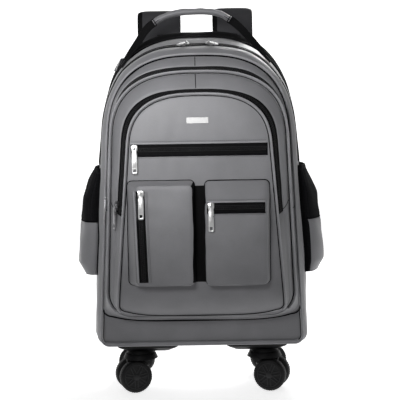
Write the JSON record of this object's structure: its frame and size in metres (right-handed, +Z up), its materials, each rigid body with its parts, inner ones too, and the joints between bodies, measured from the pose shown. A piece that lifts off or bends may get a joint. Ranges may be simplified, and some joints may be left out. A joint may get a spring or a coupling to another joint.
{
  "type": "wheeled backpack",
  "caption": "Soft backpack with stacked zipped compartments, patch and side pockets, folded shoulder straps, a telescopic handle and twin-wheel casters.",
  "frame": {"origin": "the middle of the footprint, on the floor that the wheels stand on", "axes": "+X to the right seen from the front, +Y to the back where the shoulder straps are, +Z up"},
  "size_m": [0.3858, 0.2796, 0.5962],
  "materials": {
    "cloth": "satin grey weave",
    "dark_cloth": "dark grey weave",
    "black_webbing": "woven black tape",
    "net": "black open net",
    "chrome": "polished",
    "plastic": "moulded, fine grain",
    "tread": "moulded hard rubber",
    "aluminium": "satin anodised"
  },
  "bodies": {
    "bag": {"main_body": "cloth", "middle_compartment": "cloth", "front_compartment": "cloth", "left_pocket": "cloth", "right_pocket": "cloth", "side_pocket_left": "cloth", "side_pocket_right": "cloth", "grab_grip": "cloth", "main_piping": "dark_cloth", "middle_piping": "dark_cloth", "front_piping": "dark_cloth", "back_panel": "dark_cloth", "shoulder_strap_left": "dark_cloth", "shoulder_strap_right": "dark_cloth", "main_zip": "black_webbing", "rear_zip": "black_webbing", "middle_zip": "black_webbing", "front_zip": "black_webbing", "slip_zip": "black_webbing", "left_pocket_zip": "black_webbing", "right_pocket_zip": "black_webbing", "grab_strap_left": "black_webbing", "grab_strap_right": "black_webbing", "strap_webbing_left": "black_webbing", "strap_webbing_right": "black_webbing", "side_mesh_left": "net", "side_mesh_right": "net", "back_pad_left": "net", "back_pad_right": "net", "nameplate": "chrome", "slip_pull": "chrome", "left_pocket_pull": "chrome", "right_pocket_pull": "chrome", "front_pull": "chrome", "middle_pull": "chrome", "main_pull_left": "chrome", "main_pull_right": "chrome", "rear_pull_left": "chrome", "rear_pull_right": "chrome", "strap_buckle_left": "plastic", "strap_buckle_right": "plastic", "trolley_bezel": "plastic", "caster_base_front_left": "plastic", "caster_base_front_right": "plastic", "caster_base_rear_left": "plastic", "caster_base_rear_right": "plastic", "trolley_tube_left": "aluminium", "trolley_tube_right": "aluminium"},
    "handle": {"handle_tube_left": "aluminium", "handle_tube_right": "aluminium", "handle_grip": "plastic"},
    "fork_front_left": {"caster_fork_front_left": "plastic"},
    "wheels_front_left": {"caster_wheels_front_left": "tread"},
    "fork_front_right": {"caster_fork_front_right": "plastic"},
    "wheels_front_right": {"caster_wheels_front_right": "tread"},
    "fork_rear_left": {"caster_fork_rear_left": "plastic"},
    "wheels_rear_left": {"caster_wheels_rear_left": "tread"},
    "fork_rear_right": {"caster_fork_rear_right": "plastic"},
    "wheels_rear_right": {"caster_wheels_rear_right": "tread"}
  },
  "joints": [
    {"name": "handle_slide", "type": "slide", "parent": "bag", "child": "handle", "axis": [0, 0, 1], "range_m": [0, 0.38]},
    {"name": "swivel_front_left", "type": "hinge", "parent": "bag", "child": "fork_front_left", "pos_m": [-0.096, -0.01936, 0.055], "axis": [0, 0, 1], "continuous": true},
    {"name": "wheel_front_left", "type": "hinge", "parent": "fork_front_left", "child": "wheels_front_left", "pos_m": [-0.10741, -0.02307, 0.025], "axis": [0.309, -0.9511, 0], "continuous": true},
    {"name": "swivel_front_right", "type": "hinge", "parent": "bag", "child": "fork_front_right", "pos_m": [0.096, -0.01936, 0.055], "axis": [0, 0, 1], "continuous": true},
    {"name": "wheel_front_right", "type": "hinge", "parent": "fork_front_right", "child": "wheels_front_right", "pos_m": [0.10741, -0.02307, 0.025], "axis": [0.309, 0.9511, 0], "continuous": true},
    {"name": "swivel_rear_left", "type": "hinge", "parent": "bag", "child": "fork_rear_left", "pos_m": [-0.096, 0.06864, 0.055], "axis": [0, 0, 1], "continuous": true},
    {"name": "wheel_rear_left", "type": "hinge", "parent": "fork_rear_left", "child": "wheels_rear_left", "pos_m": [-0.10741, 0.07234, 0.025], "axis": [-0.309, -0.9511, 0], "continuous": true},
    {"name": "swivel_rear_right", "type": "hinge", "parent": "bag", "child": "fork_rear_right", "pos_m": [0.096, 0.06864, 0.055], "axis": [0, 0, 1], "continuous": true},
    {"name": "wheel_rear_right", "type": "hinge", "parent": "fork_rear_right", "child": "wheels_rear_right", "pos_m": [0.10741, 0.07234, 0.025], "axis": [-0.309, 0.9511, 0], "continuous": true}
  ]
}
